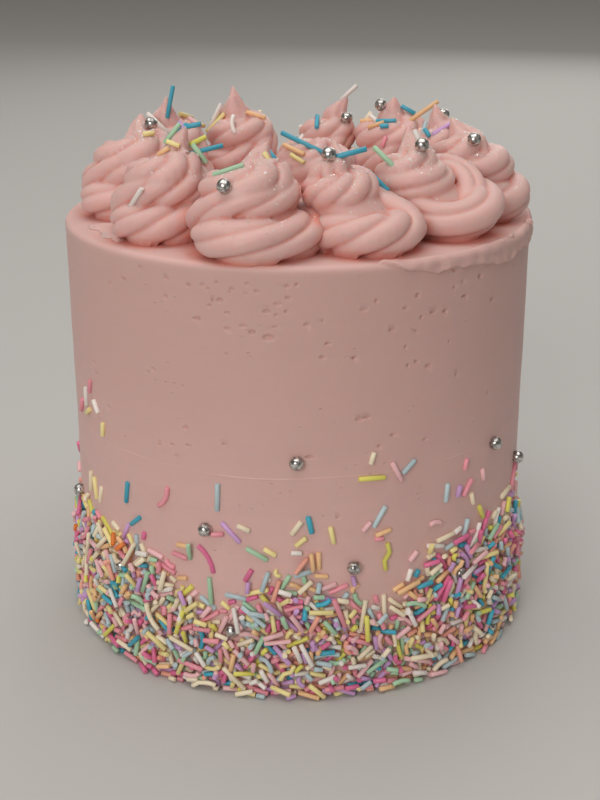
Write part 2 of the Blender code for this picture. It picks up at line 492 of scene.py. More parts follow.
def relief_of(places):
    """How far each point stands out from the turned shape, and how deep in a pit it is."""
    turns = np.arctan2(places[:, 1], places[:, 0])
    heights = places[:, 2]
    out = np.hypot(places[:, 0], places[:, 1])
    side = smooth_step((out - RADIUS + 2.2 * MM) / (1.2 * MM))
    # the scraper's slow wobble, and the step where it was lifted
    relief = 0.28 * MM * wobble(places, 38 * MM, 3) + 0.10 * MM * wobble(places, 11 * MM, 8)
    seam = SEAM_HEIGHT + 0.9 * MM * np.sin(3 * turns) + 0.5 * MM * np.sin(7 * turns + 1)
    strength = np.clip(0.55 + 1.2 * wobble(places, 30 * MM, 5), 0.1, 1.0)
    relief += 0.22 * MM * strength * side * smooth_step((seam - heights) / (0.8 * MM) + 0.5)
    # the lip, proudest at its ragged edge
    reach = lip_reach(turns)
    edge = smooth_step((heights - (TOP - reach)) / (0.4 * MM) + 0.5)
    body = 0.55 + 0.45 * smooth_step(1 - (heights - (TOP - reach)) / (3 * MM))
    rough = 1 + 0.5 * wobble(places, 4 * MM, 2)
    relief += np.where(reach > 0, LIP_PROUD * edge * body * rough, 0.0) * side
    # the pits, deepest towards their upper end
    hollow = np.zeros(len(places))
    for turn, up, wide, tall, deep in pits:
        across = around(turns - turn) * RADIUS / wide
        along = (heights - up) / tall
        inside = side * smooth_step((1.15 - np.hypot(across, along)) / 0.5)
        relief -= deep * inside * (0.8 + 0.3 * np.clip(along, -1, 1))
        hollow = np.maximum(hollow, inside)
    return relief, hollow


# %% How near the next solid is
def search_tree(pieces):
    """A tree that answers what lies nearest, or what a ray meets first."""
    bm = bmesh.new()
    for piece in pieces:
        bm.from_mesh(piece.data)
    tree = BVHTree.FromBMesh(bm)
    bm.free()
    return tree


def swirl_solids(but=None):
    """The frame's own solids of all swirls, or of all but one."""
    return search_tree(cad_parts[name] for name in SWIRL_NODES if name != but)


def closeness(tree, place, reach):
    """1 on a solid of the tree, falling to 0 at reach from it."""
    gap = tree.find_nearest(place, reach)[3]
    return 0.0 if gap is None else (1 - gap / reach) ** 2


# %% Push the icing in and out
PIT_PAINTED_SHADE = 0.1
GAP_PAINTED_SHADE = 0.8
FOOT_SHADE_REACH = 6 * MM  # how far out from a swirl's foot painted warm shade reaches on the cake's top


def push_icing(bm):
    """Move the corners along their normals, giving back the least and greatest amount."""
    bm.normal_update()
    places = np.array([v.co for v in bm.verts])
    crease = bm.verts.layers.float.new("crease")
    feet = swirl_solids()
    relief, hollows = relief_of(places)
    for v, amount, hollow in zip(bm.verts, relief, hollows):
        # The crease layer holds painted warm shade: in the pits and on the top beside the swirls'
        # feet.
        v[crease] = PIT_PAINTED_SHADE * hollow
        if v.co.z > TOP - 1.0 * MM:
            gap = GAP_PAINTED_SHADE * closeness(feet, v.co, FOOT_SHADE_REACH)
            v[crease] = max(v[crease], gap)
        if v.co.z > 0.1 * MM:
            v.co += v.normal * float(amount)
            v.co.z = max(0.0, v.co.z)
    return relief.min(), relief.max()


deepest, proudest = push_icing(cake)
print(f"icing pushed in by {-deepest / MM:.1f} mm and out by {proudest / MM:.1f} mm")

# %% [markdown]
# Where the knife tore the icing it left scraps: a ragged flake on the top at the left and a
# few crumbs along the lip. A scrap is a ball pressed flat and roughened.

# %% Torn scraps
SCRAPS = (  # degrees round, distance out, height over the top, size, thickness, in millimetres
    (-158, 72.0, 0.1, 6.5, 1.0),
    (-152, 72.0, 0.2, 5.5, 1.3),
    (-146, 73.0, 0.1, 5.5, 1.0),
    (-142, 75.5, 0.3, 2.4, 0.9),
    (-33, 82.0, 0.2, 1.3, 0.9),
    (-38, 82.3, 0.0, 0.8, 0.6),
    (-17, 82.2, 0.3, 1.6, 1.2),
    (60, 79.5, 0.3, 2.2, 0.9),
    (143, 80.0, 0.2, 1.6, 0.8),
)


def lay_scraps(bm):
    """Add the scraps to the cake's own mesh."""
    crease = bm.verts.layers.float["crease"]
    for number, (turn, out, up, size, thick) in enumerate(SCRAPS):
        angle = math.radians(turn)
        place = Vector((out * math.cos(angle), out * math.sin(angle), 0)) * MM
        place.z = TOP + up * MM
        spin = Matrix.Rotation(angle + 1.1 * number, 4, "Z")
        form = Matrix.Diagonal((size * MM, 0.62 * size * MM, thick * MM, 1))
        ball = bmesh.ops.create_icosphere(bm, subdivisions=3, radius=1)["verts"]
        for v in ball:
            v.co *= 1 + 0.35 * noise.noise(1.5 * v.co + Vector((number, 0, 0)))
            v[crease] = 0.0
        bmesh.ops.transform(bm, matrix=Matrix.Translation(place) @ spin @ form, verts=ball)


lay_scraps(cake)
iced_cake = as_piece(cake, "iced_cake", smooth_icing, ["cake_body"])

# %% [markdown]
# ## Piped swirls
# A swirl is one rope of icing squeezed through a star nozzle. The nozzle circles once for the
# wide foot coil, again and tighter for the crown, then stops squeezing and pulls away, which
# draws the tip. The nozzle itself never turns, so along the curved rope its star slips round
# once for each circle: that is what slants the ribs. Sweeping a star along the coil with that
# twist gives ribs, coils and tip together, which no turned shape can. A voxel remesh then
# melts the overlapping coils into one skin, as soft icing does.

# %% Measure each swirl's solid
FOOT_LEVEL = 6.65 * MM  # the solids have a ring of corners at these heights
CROWN_LEVEL = 18.75 * MM
LEVEL_SLACK = 0.1 * MM
RIB_SHARE = 0.955  # corners nearer to the middle than this are in a groove or a flat cut
FITS = 6
FEWEST_CORNERS = 8


def circle_through(points):
    """Middle and radius of the circle that lies nearest to points in plan."""
    rows = np.column_stack((2 * points[:, :2], np.ones(len(points))))
    x, y, rest = np.linalg.lstsq(rows, (points[:, :2] ** 2).sum(1), rcond=None)[0]
    return np.array((x, y)), math.sqrt(rest + x * x + y * y)


def ring_of(points, level):
    """The circle over a swirl's ribs at one height, leaving out grooves and flat cuts."""
    ring = points[np.abs(points[:, 2] - TOP - level) < LEVEL_SLACK]
    for _ in range(FITS):
        middle, radius = circle_through(ring)
        away = np.hypot(*(ring[:, :2] - middle).T)
        keep = away > RIB_SHARE * radius
        if keep.all() or keep.sum() < FEWEST_CORNERS:
            break
        ring = ring[keep]
    return middle, radius


def measure_swirl(name):
    """Where a swirl's two coils and its tip are, and how wide and high it is."""
    points = np.array([v.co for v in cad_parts[name].data.vertices])
    foot, foot_radius = ring_of(points, FOOT_LEVEL)
    crown, crown_radius = ring_of(points, CROWN_LEVEL)
    tip = points[points[:, 2].argmax()]
    return {
        "name": name,
        "foot": foot,
        "foot_radius": foot_radius,
        "crown": crown,
        "crown_radius": crown_radius,
        "tip": tip[:2],
        "height": tip[2] - TOP,
    }


swirls = [measure_swirl(name) for name in SWIRL_NODES]
for s in swirls:
    place = np.round(np.concatenate((s["foot"], s["crown"], s["tip"])) / MM, 1)
    print(s["name"], place, f"{s['foot_radius'] / MM:.1f} {s['crown_radius'] / MM:.1f}")

# %% [markdown]
# The rope's route is a short table of moments: after how many turns, how far out, how high and
# how thick. Between the moments everything eases. The route leans with the solid that it
# replaces, and the climb from foot to crown is put on the side that faces the cake's middle.

# %% The rope's route
STEPS_A_TURN = 40
SECTION_CORNERS = 48
NOZZLE_RIBS = 4
GROOVE = 0.36
UNEVEN = 0.10  # no two teeth of a nozzle are quite alike
SPREADS = {"swirl_01": 2.2 * MM, "swirl_10": 2.8 * MM}
SPREAD = 1.0 * MM  # the ribs of all others stand this far out of the swirl's solid
SINK = 0.4 * MM  # how deep the rope is pressed into the top of the cake
ROOT = 2.5 * MM  # how far its hidden underside reaches down, so that no light leaks out there
FLATTEN = 0.90
FOOT_TURNS = 0.78  # how far round the foot coil goes before it starts to climb


def moments(s, tip_up, round_foot):
    """Turns, distance out, height and thickness of the rope at each moment."""
    spread = SPREADS.get(s["name"], SPREAD)
    foot = s["foot_radius"] + spread
    crown = s["crown_radius"] + min(0.6 * spread, 1.0 * MM)
    thick = min(0.42 * foot, 7.4 * MM)
    thin = min(0.50 * crown, 6.6 * MM)
    tall = s["height"]
    rise = tall - CROWN_LEVEL
    table = np.array(
        (
            (-0.03, foot - thick, thick * FLATTEN - SINK, thick * 0.25),
            (0.00, foot - thick, thick * FLATTEN - SINK, thick * 0.75),
            (0.07, foot - thick, thick * FLATTEN - SINK, thick),
            (round_foot, foot - thick, thick * FLATTEN, thick),
            (round_foot + 0.37, crown - thin, 16.8 * MM, thin),
            (round_foot + 1.22, crown - thin - 0.4 * MM, CROWN_LEVEL + 0.03 * rise, thin),
            (round_foot + 1.44, 0.42 * crown, CROWN_LEVEL + 0.10 * rise, 0.50 * crown),
            (round_foot + 1.64, 0.16 * crown, CROWN_LEVEL + 0.26 * rise, 0.53 * crown),
            (round_foot + 1.80, 0.05 * crown, CROWN_LEVEL + 0.48 * rise, 0.42 * crown),
            (round_foot + 1.94, 0.02 * crown, CROWN_LEVEL + 0.68 * rise, 0.26 * crown),
            (round_foot + 2.06, 0.00 * crown, CROWN_LEVEL + 0.86 * rise, 0.12 * crown),
            (round_foot + 2.17, 0.00 * crown, tall, 0.40 * MM),
        )
    )
    if tip_up > 0:
        table[0] = (-0.9, 0.22 * foot, thick * FLATTEN, thick * 0.8)
    return table


# %% Between the moments
def eased(table, turn):
    """The table's row at a turn, easing from moment to moment."""
    after = int(np.clip(np.searchsorted(table[:, 0], turn), 1, len(table) - 1))
    start, end = table[after - 1], table[after]
    share = (turn - start[0]) / (end[0] - start[0])
    easy = 0.5 * smooth_step(share) + 0.5 * share
    return start + (end - start) * easy


def leaning_axis(s, height):
    """The swirl's own axis at a height above the cake."""
    if height < CROWN_LEVEL:
        share = smooth_step((height - FOOT_LEVEL) / (CROWN_LEVEL - FOOT_LEVEL))
        return s["foot"] + (s["crown"] - s["foot"]) * share
    share = (height - CROWN_LEVEL) / (s["height"] - CROWN_LEVEL)
    return s["crown"] + (s["tip"] - s["crown"]) * min(1.0, share)


# %% How each swirl is piped
PIPING = {  # by swirl: slip of the star, start of the rope, tip-up and turns of the foot coil
    1: (1.25, 205, 0.0, FOOT_TURNS),
    2: (1.9, 332, 0.0, 1.0),
    3: (0.45, 150, 0.42, FOOT_TURNS),
    4: (0.8, 120, 0.25, FOOT_TURNS),
    10: (1.35, 200, 0.0, FOOT_TURNS),
    11: (1.7, 196, 0.0, FOOT_TURNS),
}


def rope_stations(s, seed, start, tip_up, round_foot):
    """Places, outward headings and thicknesses along the rope."""
    table = moments(s, tip_up, round_foot)
    start = math.radians(start)
    stations = []
    for turn in np.arange(table[0, 0], table[-1, 0], 1 / STEPS_A_TURN):
        _, out, up, thick = eased(table, turn)
        sway = noise.noise(Vector((2.3 * turn, seed, 0.5)))
        swell = noise.noise(Vector((3.1 * turn, seed, 7.5)))
        out *= 1 + 0.07 * sway
        thick *= 1 + 0.10 * swell
        angle = start + turn * math.tau
        heading = heading_at(angle)
        axis = leaning_axis(s, up)
        lift = tip_up * out * (1 + math.sin(angle)) * max(0.0, 1.25 - turn)
        place = Vector((*axis, TOP + up + lift)) + heading * out
        stations.append((place, heading, thick, angle))
    return stations


# %% [markdown]
# The star section is extruded from station to station. At each one it is laid square to the
# route, turned by the nozzle's slip and pressed a little flat. Before the remesh, cones fill
# the holes inside the coils. They reach down into the cake, so no light leaks out below.


# %% A star that can be extruded
def star_section(bm):
    """A ring of corners one unit in radius, with round ribs and sharp grooves."""
    ring = bmesh.ops.create_circle(bm, cap_ends=True, segments=SECTION_CORNERS, radius=1.0)
    for v in ring["verts"]:
        turn = math.atan2(v.co.y, v.co.x)
        rib = turn * NOZZLE_RIBS / math.tau + UNEVEN * math.sin(turn)
        across = 2 * abs(rib % 1 - 0.5)
        v.co *= 1 - GROOVE * (1 - math.sqrt(1 - across**2))
    return list(bm.edges)


def extrude_ring(bm, ring, move):
    """Extrude a ring of edges and move the new one, giving back its edges."""
    grown = bmesh.ops.extrude_edge_only(bm, edges=ring)["geom"]
    corners = {g for g in grown if isinstance(g, bmesh.types.BMVert)}
    bmesh.ops.transform(bm, matrix=move, verts=list(corners))
    edges = [g for g in grown if isinstance(g, bmesh.types.BMEdge)]
    return [e for e in edges if e.verts[0] in corners and e.verts[1] in corners]


# %% Sweep the star along the route
def laid_square(place, along, heading, thick, slip):
    """The matrix that lays the unit star across the rope at a station."""
    outward = (heading - along * heading.dot(along)).normalized()
    upward = outward.cross(along)
    basis = Matrix((outward, upward, along)).transposed().to_4x4()
    pressed = Matrix.Diagonal((thick, thick * FLATTEN, thick, 1))
    return Matrix.Translation(place) @ basis @ pressed @ Matrix.Rotation(slip, 4, "Z")


def pipe_rope(s, seed, slip_rate, *route):
    """The star swept along its route, its underside pressed down into the cake."""
    stations = rope_stations(s, seed, *route)
    bm = bmesh.new()
    ring = star_section(bm)
    before = Matrix.Identity(4)
    for i, (place, heading, thick, angle) in enumerate(stations):
        last = stations[max(0, i - 1)][0]
        following = stations[min(len(stations) - 1, i + 1)][0]
        along = (following - last).normalized()
        now = laid_square(place, along, heading, thick, slip_rate * angle)
        if i == 0:
            bmesh.ops.transform(bm, matrix=now, verts=bm.verts)
        else:
            ring = extrude_ring(bm, ring, now @ before.inverted())
        before = now
    bmesh.ops.contextual_create(bm, geom=ring)
    for v in bm.verts:
        if v.co.z < TOP + 0.8 * MM:
            v.co.z = TOP - ROOT
    return bm


# %% Fill the holes inside the coils
def leaning_cone(bm, low, high, bottom, top, radii):
    """A cone from one level to another whose axis leans from low to high in plan."""
    depth = top - bottom
    lean = (high - low) / depth
    place = Matrix.Translation((*((low + high) / 2), TOP + (bottom + top) / 2))
    place[0][2], place[1][2] = lean
    wide, narrow = radii
    bmesh.ops.create_cone(
        bm, cap_ends=True, segments=32, radius1=wide, radius2=narrow, depth=depth, matrix=place
    )


WAIST = 8 * MM  # where the foot coil gives way to the crown


def fill_middle(bm, s, tip_up):
    """Cones inside the coils: under the crown, up into the tip and under a tipped-up foot."""
    foot, crown = s["foot_radius"], s["crown_radius"]
    waist = 0.7 * s["foot"] + 0.3 * s["crown"]
    leaning_cone(bm, s["foot"], waist, -ROOT, WAIST, (0.66 * foot, 0.74 * foot))
    under_crown = CROWN_LEVEL + 1.5 * MM
    leaning_cone(bm, waist, s["crown"], WAIST, under_crown, (0.74 * foot, 0.68 * crown))
    top = s["height"] - 1.5 * MM
    leaning_cone(bm, s["crown"], s["tip"], CROWN_LEVEL, top, (0.6 * crown, 0.4 * MM))
    if tip_up > 0:
        under = s["foot"] + np.array((3, 10)) * MM
        leaning_cone(bm, s["foot"], under, -ROOT, 15 * MM, (0.7 * foot, 0.55 * foot))


print("rope stations:", len(rope_stations(swirls[0], 1, 0, 0, FOOT_TURNS)))

# %% [markdown]
# The remesh comes from a modifier, evaluated once and kept as a plain mesh. Anything it leaves
# shut inside is dropped, and a light smoothing takes off the voxel steps.

# %% Melt the coils together
VOXEL = 0.53 * MM


def melted(bm):
    """One skin round everything in bm, as a new bmesh."""
    rough = as_mesh(bm, "rough")
    holder = in_scene("rough", rough)
    remesh = holder.modifiers.new("melt", "REMESH")
    remesh.mode = "VOXEL"
    remesh.voxel_size = VOXEL
    solid = holder.evaluated_get(bpy.context.evaluated_depsgraph_get())
    skin = bmesh.new()
    skin.from_mesh(solid.to_mesh())
    solid.to_mesh_clear()
    bpy.data.objects.remove(holder)
    bpy.data.meshes.remove(rough)
    return skin


# %% Drop what is shut inside
def keep_largest(bm):
    """Drop every shell but the one with the most faces."""
    bm.faces.ensure_lookup_table()
    seen = set()
    shells = []
    for first in bm.faces:
        if first in seen:
            continue
        seen.add(first)
        shell = [first]
        for face in shell:
            for edge in face.edges:
                for beside in edge.link_faces:
                    if beside not in seen:
                        seen.add(beside)
                        shell.append(beside)
        shells.append(shell)
    shells.sort(key=len)
    for shell in shells[:-1]:
        bmesh.ops.delete(bm, geom=shell, context="FACES")


# %% Paint warm shade into the creases
CREASE_DEPTH = 0.9 * MM
CREASE_SMOOTHINGS = 14
GAP_REACH = 5 * MM  # painted shade reaches this far from the next swirl
FOOT_REACH = 3.5 * MM  # painted shade reaches this far up from the cake


def relax(bm, factor):
    """Draw every corner towards its neighbours."""
    axes = {"use_axis_x": True, "use_axis_y": True, "use_axis_z": True}
    bmesh.ops.smooth_vert(bm, verts=bm.verts, factor=factor, **axes)


def paint_crease_shade(bm, others):
    """Keep on each corner how deep it lies in a crease or gap, from 0 to 1, which sets how much
    warm shade is painted there.
    """
    crease = bm.verts.layers.float.new("crease")
    sharp = [v.co.copy() for v in bm.verts]
    for _ in range(CREASE_SMOOTHINGS):
        relax(bm, 1.0)
    for v, before in zip(bm.verts, sharp):
        depth = (v.co - before).dot(v.normal) / CREASE_DEPTH
        v.co = before
        above = max(0.0, 1 - (before.z - TOP) / FOOT_REACH)
        gap = GAP_PAINTED_SHADE * max(closeness(others, before, GAP_REACH), above**2)
        v[crease] = min(1.0, max(gap, depth))


# %% Make the twelve swirls
def make_swirl(s, number):
    """Pipe, melt and colour one swirl."""
    rng = random.Random(100 + number)
    toward_middle = math.degrees(math.atan2(-s["foot"][1], -s["foot"][0]))
    usual = (rng.uniform(1.3, 1.8), toward_middle + rng.uniform(-40, 40), 0.0, FOOT_TURNS)
    route = PIPING.get(number, usual)
    rope = pipe_rope(s, number * 3.7, *route)
    fill_middle(rope, s, tip_up=route[2])
    bm = melted(rope)
    keep_largest(bm)
    relax(bm, 0.5)
    paint_crease_shade(bm, swirl_solids(but=s["name"]))
    piece_name = s["name"].replace("swirl", "piped_swirl")
    return as_piece(bm, piece_name, piped_icing, [s["name"]])


piped = [make_swirl(s, number) for number, s in enumerate(swirls, 1)]

# %% [markdown]
# ## Sprinkles
# Strand sprinkles are sugar paste pushed through a plate, cut and polished: blunt little rods
# under 2 mm thick, mostly straight, some bent or broken. There are thousands, so each has only
# a few dozen faces, and each colour is one joined piece with one plain finish.

# %% The sprinkle finishes
SPRINKLE_COLOURS = {  # painter's colour and how common it is
    "light_pink": ("F9C7CA", 14),
    "rose_pink": ("F29FAD", 10),
    "hot_pink": ("EB78A5", 7.5),
    "coral": ("F9B09B", 4.5),
    "lilac": ("D4A8DB", 9),
    "cream": ("FAEBCE", 14),
    "white": ("F6F0EA", 8),
    "pale_yellow": ("F8E8A2", 10),
    "lime_yellow": ("E8E36F", 5),
    "peach": ("FBCB98", 9),
    "mint": ("B2DCB9", 8),
    "pale_aqua": ("BFD5DB", 9.5),
    "teal": ("46B0CA", 5.5),
    "bright_orange": ("F4883A", 0.2),
}


def sugar_shell(name, base):
    """Hard sugar: an even colour, a soft polish and a little light let in."""
    made = Finish(
        name,
        Specular_IOR_Level=0.45,
        Subsurface_Weight=0.05,
        Subsurface_Radius=(1.0, 0.8, 0.7),
        Subsurface_Scale=0.5 * MM,
        Coat_Weight=0.12,
        Coat_Roughness=0.3,
    )
    tint = made.node("ShaderNodeAttribute", {"attribute_name": "tint"}, output="Fac")
    mottle = made.noise(0.9, detail=2)
    share = tint * 0.8 + mottle * 0.2
    made.set("Base Color", made.mix(share, shade(base, 0.84), shade(base, 1.08)))
    made.set("Roughness", 0.3 + 0.2 * mottle)
    return made.material


sprinkle_looks = {
    name: sugar_shell("sprinkle_" + name, colour(code))
    for name, (code, _) in SPRINKLE_COLOURS.items()
}
print(len(sprinkle_looks), "sprinkle colours")

# %% [markdown]
# A rod is grown from one small disc: extrude its end, move it on, turn it, repeat. With no
# turns the rod is straight, with equal turns it is curved, and opposite turns make a wriggle.

# %% The rods
ROD_RADIUS = 0.86 * MM
ROD_SIDES = 8
ROD_CHAMFER = 0.13 * MM


def about_y(degrees):
    """A turn in the plane that a rod bends in."""
    return Matrix.Rotation(math.radians(degrees), 3, "Y")


def make_rod(name, length, turns):
    """A rod along the Z axis whose parts turn by the given degrees, one after another."""
    bm = bmesh.new()
    disc = bmesh.ops.create_circle(bm, cap_ends=True, segments=ROD_SIDES, radius=ROD_RADIUS)
    end = disc["verts"][0].link_faces[0]
    part = Vector((0, 0, length / (len(turns) + 1)))
    middle = Vector((0, 0, 0))
    heading = 0
    facing = 0
    for number, turn in enumerate((*turns, 0)):
        grown = bmesh.ops.extrude_face_region(bm, geom=[end])["geom"]
        if number:
            bmesh.ops.delete(bm, geom=[end], context="FACES_ONLY")
        end = next(g for g in grown if isinstance(g, bmesh.types.BMFace))
        step = about_y(heading) @ part
        middle += step
        bmesh.ops.translate(bm, verts=end.verts, vec=step)
        square = about_y(heading + turn / 2 - facing)
        bmesh.ops.rotate(bm, verts=end.verts, cent=middle, matrix=square)
        facing = heading + turn / 2
        heading += turn
    bmesh.ops.recalc_face_normals(bm, faces=bm.faces)
    rims = [e for e in bm.edges if any(len(f.verts) == ROD_SIDES for f in e.link_faces)]
    bmesh.ops.bevel(
        bm, geom=rims, offset=ROD_CHAMFER, segments=1, profile=0.5, affect="EDGES", material=-1
    )
    for face in bm.faces:
        if len(face.verts) == ROD_SIDES:
            for edge in face.edges:
                edge.smooth = False
    centre = sum((v.co for v in bm.verts), Vector()) / len(bm.verts)
    bmesh.ops.translate(bm, verts=bm.verts, vec=-centre)
    level = about_y(-math.degrees(math.atan2(middle.x, middle.z)))
    bmesh.ops.rotate(bm, verts=bm.verts, cent=(0, 0, 0), matrix=level)
    return as_mesh(bm, name)


ROD_KINDS = {  # lengths in millimetres, then how the parts turn
    "straight": ((2.2, 3, 4.5, 6, 7.5, 9, 11), ()),
    "curved": ((6, 8, 10), (15, 15, 15)),
    "hooked": ((6, 8), (34, 22)),
    "wriggled": ((8, 10), (44, -50)),
}
rods = {
    kind: [(n * MM, make_rod(f"{kind}_{n}", n * MM, turns)) for n in lengths]
    for kind, (lengths, turns) in ROD_KINDS.items()
}
print("faces to a rod:", {kind: len(made[0][1].polygons) for kind, made in rods.items()})

# %% [markdown]
# A sprinkle is noted down as a place, a direction, a length, a kind and a colour. Only at the
# end are the notes turned into joined meshes, so the heap can be worked out quickly with
# numbers alone.

# %% Noting a sprinkle down
notes = {tone: [] for tone in SPRINKLE_COLOURS}
TONES = list(SPRINKLE_COLOURS)
TONE_SHARES = [common for _, common in SPRINKLE_COLOURS.values()]


def note_sprinkle(rng, place, direction, outward, length, kind=None, tone=None):
    """Note a rod whose middle is at place, lying flat against outward."""
    kind = kind or rng.choices(list(rods), (86, 8, 4, 2))[0]
    tone = tone or rng.choices(TONES, TONE_SHARES)[0]
    notes[tone].append((Vector(place), Vector(direction), Vector(outward), length, kind))


def rod_length(rng):
    """Most are whole, some are long and a quarter are broken bits."""
    pick = rng.random()
    if pick < 0.25:
        return rng.uniform(2.4, 4.6) * MM
    if pick < 0.80:
        return rng.uniform(5.0, 8.2) * MM
    return rng.uniform(8.2, 11.0) * MM


print("colours to draw from:", ", ".join(TONES))

# %% [markdown]
# ## Heaping sprinkles on the side
# Real sprinkles are pressed on by the handful. Physics could settle thousands of rods, but it
# is slow and seldom lands the same way twice. Instead the side is unrolled into a flat grid
# that remembers how far the heap stands out at each point. A new rod tries a few spots, rests
# on the two highest points under it and takes the lowest berth. Where the heap would grow too
# thick it is refused. The limit thins to a single layer towards the band's wavy top edge.

# %% A grid of the unrolled side
CELL = 0.5 * MM
COLUMNS = round(math.tau * RADIUS / CELL)
ROWS = round(TOP / CELL)
PRESSED_IN = 0.35 * MM  # how deep the first layer sinks into the icing
heap = np.full((COLUMNS, ROWS), -PRESSED_IN)
ALONG = np.linspace(-0.48, 0.48, 9)
ACROSS = np.linspace(-0.8, 0.8, 5) * ROD_RADIUS
ARCH = np.sqrt(ROD_RADIUS**2 - ACROSS**2)


def resting_line(along, need):
    """Height at the middle and slope of the lowest line that clears need, row by row."""
    half = along.shape[1] // 2
    left, right = along[:, :half, None], along[:, None, half + 1 :]
    low, high = need[:, :half, None], need[:, None, half + 1 :]
    slopes = (high - low) / (right - left)
    middles = (low - slopes * left).reshape(len(need), -1)
    best = middles.argmax(axis=1)
    rows = np.arange(len(need))
    slope = slopes.reshape(len(need), -1)[rows, best]
    return np.maximum(middles[rows, best], need[:, half]), slope


def rest_on_heap(round_at, up_at, heading, length):
    """Where rods would come to rest, one for each candidate place and heading."""
    along = ALONG[None, :] * length * np.ones((len(round_at), 1))
    cos, sin = np.cos(heading)[:, None, None], np.sin(heading)[:, None, None]
    a, c = along[:, :, None], ACROSS[None, None, :]
    column = np.rint((round_at[:, None, None] + a * cos - c * sin) / CELL).astype(int) % COLUMNS
    row = np.rint((up_at[:, None, None] + a * sin + c * cos) / CELL).astype(int)
    under = heap[column, row.clip(0, ROWS - 1)] + ARCH[None, None, :]
    return resting_line(along, under.max(axis=2))


# %% Lay a sprinkle on the grid
def raise_heap(round_at, up_at, reach, top_of):
    """Raise the heap to top_of(across, up) in a square patch round a place."""
    columns = np.arange(int((round_at - reach) / CELL), int((round_at + reach) / CELL) + 2)
    rows = np.arange(max(0, int((up_at - reach) / CELL)), int((up_at + reach) / CELL) + 2)
    rows = rows[rows < ROWS]
    patch = np.ix_(columns % COLUMNS, rows)
    top = top_of(columns[:, None] * CELL - round_at, rows[None, :] * CELL - up_at)
    heap[patch] = np.maximum(heap[patch], top)


def on_side(round_at, up_at, out):
    """A place and the outward heading there, from the unrolled grid."""
    outward = heading_at(round_at / RADIUS)
    return outward * (RADIUS + out) + Vector((0, 0, up_at)), outward


def lay_sprinkle(rng, round_at, up_at, heading, length, out, slope, kind=None, tone=None):
    """Note a rod down at its berth and raise the heap over it."""
    place, outward = on_side(round_at, up_at, out)
    level = Vector((-outward.y, outward.x, 0))
    direction = level * math.cos(heading) + Vector((0, 0, math.sin(heading))) + outward * slope
    note_sprinkle(rng, place, direction.normalized(), outward, length, kind, tone)

    def top_of(across, up):
        along = across * math.cos(heading) + up * math.sin(heading)
        aside = up * math.cos(heading) - across * math.sin(heading)
        arch = np.sqrt(np.maximum(0, ROD_RADIUS**2 - aside**2))
        inside = (np.abs(along) < length / 2) & (np.abs(aside) < ROD_RADIUS)
        return np.where(inside, out + slope * along + arch, -1.0)

    raise_heap(round_at, up_at, length / 2 + ROD_RADIUS, top_of)


print("unrolled side:", heap.shape, "cells")

# %% [markdown]
# ## Silver balls
# The silver balls are sugar pearls with a skin of metal, larger than any sprinkle. They go on
# first, because sprinkles gather round them. Those at the front have set places, and a few
# more are scattered round the back in the same loose way.

# %% Balls on the side
BALL_RADIUS = 2.4 * MM
BALL_PLACES = (  # degrees round the cake, millimetres up
    (-92, 86), (-113, 60), (-38, 79), (-79, 48), (-50, 36), (-139, 36),
    (-107, 24), (-35, 5), (-20, 64), (-165, 50), (-162, 27),
)
ball_places = []


def set_ball(turn, up):
    """Press a ball into the side and raise the heap round it."""
    round_at = (turn % math.tau) * RADIUS
    out = 0.55 * BALL_RADIUS
    ball_places.append(on_side(round_at, up, out)[0])

    def top_of(across, rise):
        dome = np.maximum(0, BALL_RADIUS**2 - across**2 - rise**2)
        return np.where(dome > 0, out + np.sqrt(dome), -1.0)

    raise_heap(round_at, up, BALL_RADIUS, top_of)


for turn, up in BALL_PLACES:
    set_ball(math.radians(turn), up * MM)
rng = random.Random(7)
for turn in range(0, 190, 17):
    set_ball(math.radians(turn + rng.uniform(-8, 8)), rng.triangular(4, 84, 34) * MM)
print(len(ball_places), "silver balls on the side")

# %% [markdown]
# The band's wavy edge is read from its solid, so the heap and the solid agree all the way
# round.

# %% The band's edge
def band_edge():
    """Turn and height of the solid band's top edge."""
    highest = {}
    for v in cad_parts["sprinkle_band"].data.vertices:
        if math.hypot(v.co.x, v.co.y) > RADIUS + 0.8 * MM:
            turn = round(math.degrees(math.atan2(v.co.y, v.co.x)) % 360)
            highest[turn] = max(highest.get(turn, 0), v.co.z)
    turns = sorted(highest)
    return np.array(turns), np.array([highest[turn] for turn in turns])


EDGE_TURNS, EDGE_HEIGHTS = band_edge()


def edge_at(round_at):
    """How high the band reaches at a place round the side."""
    turn = np.degrees(round_at / RADIUS) % 360
    return np.interp(turn, EDGE_TURNS, EDGE_HEIGHTS, period=360)


# %% Heap the band
THIN_EDGE = 8 * MM
LEVEL_ROWS = 5 * MM  # below this height the rods lie level, along the foot
STEEPEST = 0.7
LAYERS = (  # attempts, spots tried for each, most that a rod's middle may stand out
    (30000, 5, 1.6 * MM),
    (12000, 2, 2.6 * MM),
    (9000, 1, 3.8 * MM),
)


